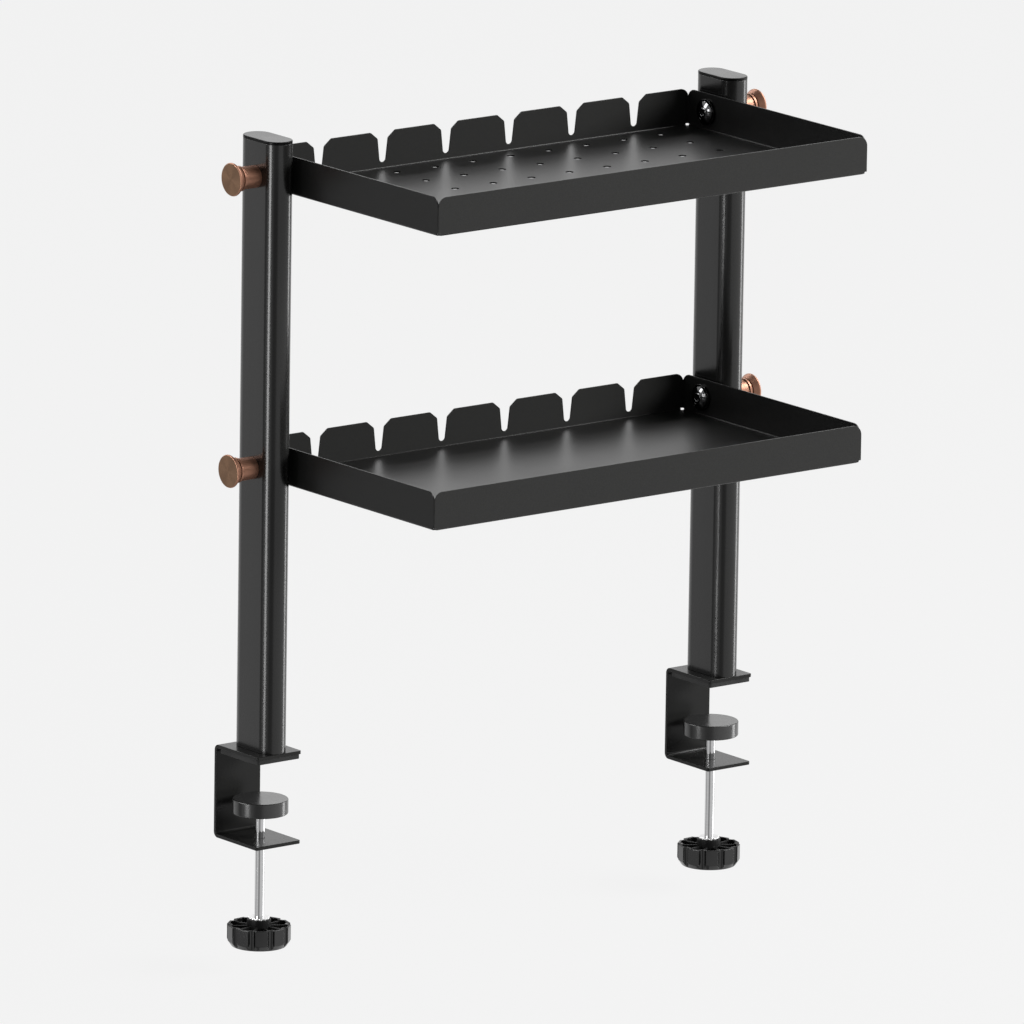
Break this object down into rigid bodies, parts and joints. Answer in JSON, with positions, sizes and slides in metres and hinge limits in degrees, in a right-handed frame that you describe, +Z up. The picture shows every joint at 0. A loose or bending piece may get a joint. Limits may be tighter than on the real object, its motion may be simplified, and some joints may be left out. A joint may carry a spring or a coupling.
{
  "type": "desktop storage rack",
  "caption": "Clamp-on desk rack: slotted sheet-metal trays with open corners hang on bolts between oblong uprights, tilt when the thumb nuts are eased, and stand on screw clamps.",
  "frame": {"origin": "on the desk top, midway between the two clamps, where the desk's edge meets the clamp spines", "axes": "+X along the trays to the right, +Y away from the user, +Z up"},
  "size_m": [0.555, 0.2475, 0.69],
  "materials": {
    "satin_black_steel": "fine satin black powder coat",
    "end_cap_plastic": "smooth black, slightly glossy",
    "plain_aluminium": "plain machined",
    "zinc_steel": "zinc plated",
    "seat_rubber": "matte black rubber",
    "pad_plastic": "smooth dark grey, soft sheen",
    "chrome_steel": "bright chrome plate",
    "black_nickel_steel": "polished black nickel plate",
    "gloss_black_plastic": "glossy black",
    "washer_plastic": "black, polished",
    "copper_metal": "turned, copper-brown anodised"
  },
  "bodies": {
    "stand": {"left_upright": "satin_black_steel", "left_end_cap": "end_cap_plastic", "left_base_block": "plain_aluminium", "left_base_screws": "zinc_steel", "left_clamp_bracket": "satin_black_steel", "left_seat_pad": "seat_rubber", "right_upright": "satin_black_steel", "right_end_cap": "end_cap_plastic", "right_base_block": "plain_aluminium", "right_base_screws": "zinc_steel", "right_clamp_bracket": "satin_black_steel", "right_seat_pad": "seat_rubber", "upper_left_bolt": "black_nickel_steel", "upper_left_washer": "washer_plastic", "upper_left_spacer": "washer_plastic", "upper_right_bolt": "black_nickel_steel", "upper_right_washer": "washer_plastic", "upper_right_spacer": "washer_plastic", "lower_left_bolt": "black_nickel_steel", "lower_left_washer": "washer_plastic", "lower_left_spacer": "washer_plastic", "lower_right_bolt": "black_nickel_steel", "lower_right_washer": "washer_plastic", "lower_right_spacer": "washer_plastic"},
    "upper_tray": {"upper_tray": "satin_black_steel"},
    "lower_tray": {"lower_tray": "satin_black_steel"},
    "upper_left_thumb_nut": {"upper_left_thumb_nut": "copper_metal"},
    "upper_right_thumb_nut": {"upper_right_thumb_nut": "copper_metal"},
    "lower_left_thumb_nut": {"lower_left_thumb_nut": "copper_metal"},
    "lower_right_thumb_nut": {"lower_right_thumb_nut": "copper_metal"},
    "left_pressure_pad": {"left_pressure_pad": "pad_plastic"},
    "left_clamp_screw": {"left_clamp_screw": "chrome_steel", "left_clamp_knob": "gloss_black_plastic", "left_knob_washer": "chrome_steel"},
    "right_pressure_pad": {"right_pressure_pad": "pad_plastic"},
    "right_clamp_screw": {"right_clamp_screw": "chrome_steel", "right_clamp_knob": "gloss_black_plastic", "right_knob_washer": "chrome_steel"}
  },
  "joints": [
    {"name": "upper_tray_tilt", "type": "hinge", "parent": "stand", "child": "upper_tray", "pos_m": [0, -0.031, 0.4955], "axis": [-1, 0, 0], "range_deg": [-45, 45]},
    {"name": "lower_tray_tilt", "type": "hinge", "parent": "stand", "child": "lower_tray", "pos_m": [0, -0.031, 0.2485], "axis": [-1, 0, 0], "range_deg": [-45, 45]},
    {"name": "upper_left_thumb_nut_turn", "type": "hinge", "parent": "stand", "child": "upper_left_thumb_nut", "pos_m": [-0.265, -0.031, 0.4955], "axis": [-1, 0, 0], "range_deg": [0, 720]},
    {"name": "upper_right_thumb_nut_turn", "type": "hinge", "parent": "stand", "child": "upper_right_thumb_nut", "pos_m": [0.265, -0.031, 0.4955], "axis": [1, 0, 0], "range_deg": [0, 720]},
    {"name": "lower_left_thumb_nut_turn", "type": "hinge", "parent": "stand", "child": "lower_left_thumb_nut", "pos_m": [-0.265, -0.031, 0.2485], "axis": [-1, 0, 0], "range_deg": [0, 720]},
    {"name": "lower_right_thumb_nut_turn", "type": "hinge", "parent": "stand", "child": "lower_right_thumb_nut", "pos_m": [0.265, -0.031, 0.2485], "axis": [1, 0, 0], "range_deg": [0, 720]},
    {"name": "left_clamp_travel", "type": "slide", "parent": "stand", "child": "left_pressure_pad", "axis": [0, 0, 1], "range_m": [-0.021, 0.0355]},
    {"name": "left_clamp_screw_turn", "type": "hinge", "parent": "left_pressure_pad", "child": "left_clamp_screw", "pos_m": [-0.24, -0.031, -0.1], "axis": [0, 0, 1], "range_deg": [-6049, 10225]},
    {"name": "right_clamp_travel", "type": "slide", "parent": "stand", "child": "right_pressure_pad", "axis": [0, 0, 1], "range_m": [-0.021, 0.0355]},
    {"name": "right_clamp_screw_turn", "type": "hinge", "parent": "right_pressure_pad", "child": "right_clamp_screw", "pos_m": [0.24, -0.031, -0.1], "axis": [0, 0, 1], "range_deg": [-6049, 10225]}
  ],
  "couplings": [
    {"joint": "left_clamp_screw_turn", "follows": "left_clamp_travel", "rad_per_m": 5026.5},
    {"joint": "right_clamp_screw_turn", "follows": "right_clamp_travel", "rad_per_m": 5026.5}
  ]
}
